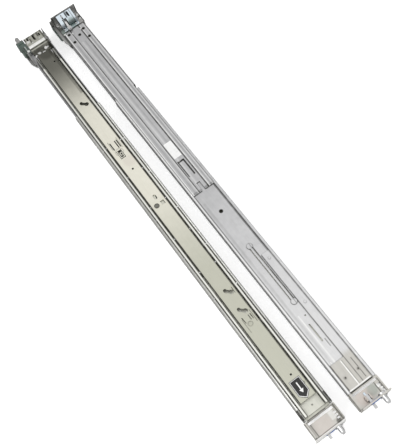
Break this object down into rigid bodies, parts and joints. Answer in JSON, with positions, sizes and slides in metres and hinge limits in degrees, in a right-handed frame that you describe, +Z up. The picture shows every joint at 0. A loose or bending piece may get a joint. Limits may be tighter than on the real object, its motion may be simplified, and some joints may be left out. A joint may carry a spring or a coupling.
{
  "type": "sliding server rail pair",
  "caption": "Pair of telescoping ball-bearing rails for a rack server, with a hooked front bracket and an adjustable rear arm on each.",
  "frame": {"origin": "centre of the bounding box of the pair on the floor it lies on", "axes": "+X along both rails towards the front of the rack, +Y across the pair, which is up in the rack, +Z up from the floor"},
  "size_m": [0.7826, 0.113, 0.0306],
  "materials": {
    "zinc_sheet": "zinc-plated sheet, neutral grey",
    "cream_zinc": "zinc-plated sheet, warm yellowish tone",
    "bright_steel": "bright plated spring sheet",
    "spring_steel": "bare spring strip",
    "dark_steel": "dark stamped steel",
    "cage_steel": "thin plated strip",
    "ball_steel": "polished balls",
    "rivet_steel": "plated rivets and pins",
    "peg_steel": "turned and plated steel",
    "blue_plastic": "moulded blue release tab",
    "green_plastic": "moulded grey-green housing"
  },
  "bodies": {
    "rails": {"right_outer_channel": "zinc_sheet", "right_hold_strap": "spring_steel", "right_front_bracket": "zinc_sheet", "right_front_rivets": "rivet_steel", "right_front_peg": "peg_steel", "right_front_hook_pin": "rivet_steel", "right_front_hook_spring": "spring_steel", "left_outer_channel": "zinc_sheet", "left_hold_strap": "spring_steel", "left_front_bracket": "zinc_sheet", "left_front_rivets": "rivet_steel", "left_front_peg": "peg_steel", "left_front_hook_pin": "rivet_steel", "left_front_hook_spring": "spring_steel"},
    "right_front_latch": {"right_front_hook": "peg_steel", "right_release_tab": "blue_plastic"},
    "right_middle": {"right_middle_channel": "zinc_sheet"},
    "right_inner": {"right_inner_channel": "cream_zinc", "right_slide_lock_pin": "rivet_steel", "right_stud_lock_pin": "rivet_steel", "right_retainer_clip": "spring_steel"},
    "right_slide_lock": {"right_slide_lock_lever": "dark_steel"},
    "right_stud_lock": {"right_stud_lock_lever": "dark_steel"},
    "right_outer_cage": {"right_outer_ball_cage": "cage_steel", "right_outer_balls": "ball_steel"},
    "right_inner_cage": {"right_inner_ball_cage": "cage_steel", "right_inner_balls": "ball_steel"},
    "right_arm": {"right_rear_arm": "zinc_sheet", "right_rear_bracket": "zinc_sheet", "right_rear_end_cap": "cream_zinc", "right_rear_rivets": "rivet_steel", "right_rear_latch_housing": "green_plastic", "right_rear_peg": "peg_steel", "right_rear_hook_pin": "rivet_steel", "right_rear_spring_plate": "bright_steel"},
    "right_rear_latch": {"right_rear_hook": "peg_steel"},
    "left_front_latch": {"left_front_hook": "peg_steel", "left_release_tab": "blue_plastic"},
    "left_middle": {"left_middle_channel": "zinc_sheet"},
    "left_inner": {"left_inner_channel": "cream_zinc", "left_slide_lock_pin": "rivet_steel", "left_stud_lock_pin": "rivet_steel", "left_retainer_clip": "spring_steel"},
    "left_slide_lock": {"left_slide_lock_lever": "dark_steel"},
    "left_stud_lock": {"left_stud_lock_lever": "dark_steel"},
    "left_outer_cage": {"left_outer_ball_cage": "cage_steel", "left_outer_balls": "ball_steel"},
    "left_inner_cage": {"left_inner_ball_cage": "cage_steel", "left_inner_balls": "ball_steel"},
    "left_arm": {"left_rear_arm": "zinc_sheet", "left_rear_bracket": "zinc_sheet", "left_rear_end_cap": "cream_zinc", "left_rear_rivets": "rivet_steel", "left_rear_latch_housing": "green_plastic", "left_rear_peg": "peg_steel", "left_rear_hook_pin": "rivet_steel", "left_rear_spring_plate": "bright_steel"},
    "left_rear_latch": {"left_rear_hook": "peg_steel"}
  },
  "joints": [
    {"name": "right_arm_slide", "type": "slide", "parent": "rails", "child": "right_arm", "axis": [-1, 0, 0], "range_m": [0, 0.16]},
    {"name": "right_middle_slide", "type": "slide", "parent": "rails", "child": "right_middle", "axis": [1, 0, 0], "range_m": [0, 0.32]},
    {"name": "right_inner_slide", "type": "slide", "parent": "right_middle", "child": "right_inner", "axis": [1, 0, 0], "range_m": [0, 0.38]},
    {"name": "right_outer_cage_slide", "type": "slide", "parent": "rails", "child": "right_outer_cage", "axis": [1, 0, 0], "range_m": [0, 0.16]},
    {"name": "right_inner_cage_slide", "type": "slide", "parent": "right_middle", "child": "right_inner_cage", "axis": [1, 0, 0], "range_m": [0, 0.19]},
    {"name": "right_front_latch_hinge", "type": "hinge", "parent": "rails", "child": "right_front_latch", "pos_m": [0.36685, -0.03438, 0.0105], "axis": [0, -1, 0], "range_deg": [0, 12], "stiffness_Nm_per_rad": 0.3, "deforming": ["right_front_hook_spring"]},
    {"name": "right_rear_latch_hinge", "type": "hinge", "parent": "right_arm", "child": "right_rear_latch", "pos_m": [-0.36515, -0.03438, 0.0105], "axis": [0, 1, 0], "range_deg": [0, 12], "stiffness_Nm_per_rad": 0.3},
    {"name": "right_slide_lock_hinge", "type": "hinge", "parent": "right_inner", "child": "right_slide_lock", "pos_m": [0.00485, -0.0339, 0.028], "axis": [0, 0, 1], "range_deg": [0, 12], "stiffness_Nm_per_rad": 0.1},
    {"name": "right_stud_lock_hinge", "type": "hinge", "parent": "right_inner", "child": "right_stud_lock", "pos_m": [0.21585, -0.03, 0.028], "axis": [0, 0, 1], "range_deg": [-8, 8], "stiffness_Nm_per_rad": 0.1},
    {"name": "left_arm_slide", "type": "slide", "parent": "rails", "child": "left_arm", "axis": [-1, 0, 0], "range_m": [0, 0.16]},
    {"name": "left_middle_slide", "type": "slide", "parent": "rails", "child": "left_middle", "axis": [1, 0, 0], "range_m": [0, 0.32]},
    {"name": "left_inner_slide", "type": "slide", "parent": "left_middle", "child": "left_inner", "axis": [1, 0, 0], "range_m": [0, 0.38]},
    {"name": "left_outer_cage_slide", "type": "slide", "parent": "rails", "child": "left_outer_cage", "axis": [1, 0, 0], "range_m": [0, 0.16]},
    {"name": "left_inner_cage_slide", "type": "slide", "parent": "left_middle", "child": "left_inner_cage", "axis": [1, 0, 0], "range_m": [0, 0.19]},
    {"name": "left_front_latch_hinge", "type": "hinge", "parent": "rails", "child": "left_front_latch", "pos_m": [0.37125, 0.02962, 0.0201], "axis": [0, 1, 0], "range_deg": [0, 12], "stiffness_Nm_per_rad": 0.3, "deforming": ["left_front_hook_spring"]},
    {"name": "left_rear_latch_hinge", "type": "hinge", "parent": "left_arm", "child": "left_rear_latch", "pos_m": [-0.36825, 0.02962, 0.0201], "axis": [0, -1, 0], "range_deg": [0, 12], "stiffness_Nm_per_rad": 0.3},
    {"name": "left_slide_lock_hinge", "type": "hinge", "parent": "left_inner", "child": "left_slide_lock", "pos_m": [0.00925, 0.0301, 0.0026], "axis": [0, 0, 1], "range_deg": [0, 12], "stiffness_Nm_per_rad": 0.1},
    {"name": "left_stud_lock_hinge", "type": "hinge", "parent": "left_inner", "child": "left_stud_lock", "pos_m": [0.22025, 0.034, 0.0026], "axis": [0, 0, 1], "range_deg": [-8, 8], "stiffness_Nm_per_rad": 0.1}
  ],
  "couplings": [
    {"joint": "right_outer_cage_slide", "follows": "right_middle_slide", "ratio": 0.5},
    {"joint": "right_inner_cage_slide", "follows": "right_inner_slide", "ratio": 0.5},
    {"joint": "left_outer_cage_slide", "follows": "left_middle_slide", "ratio": 0.5},
    {"joint": "left_inner_cage_slide", "follows": "left_inner_slide", "ratio": 0.5}
  ]
}
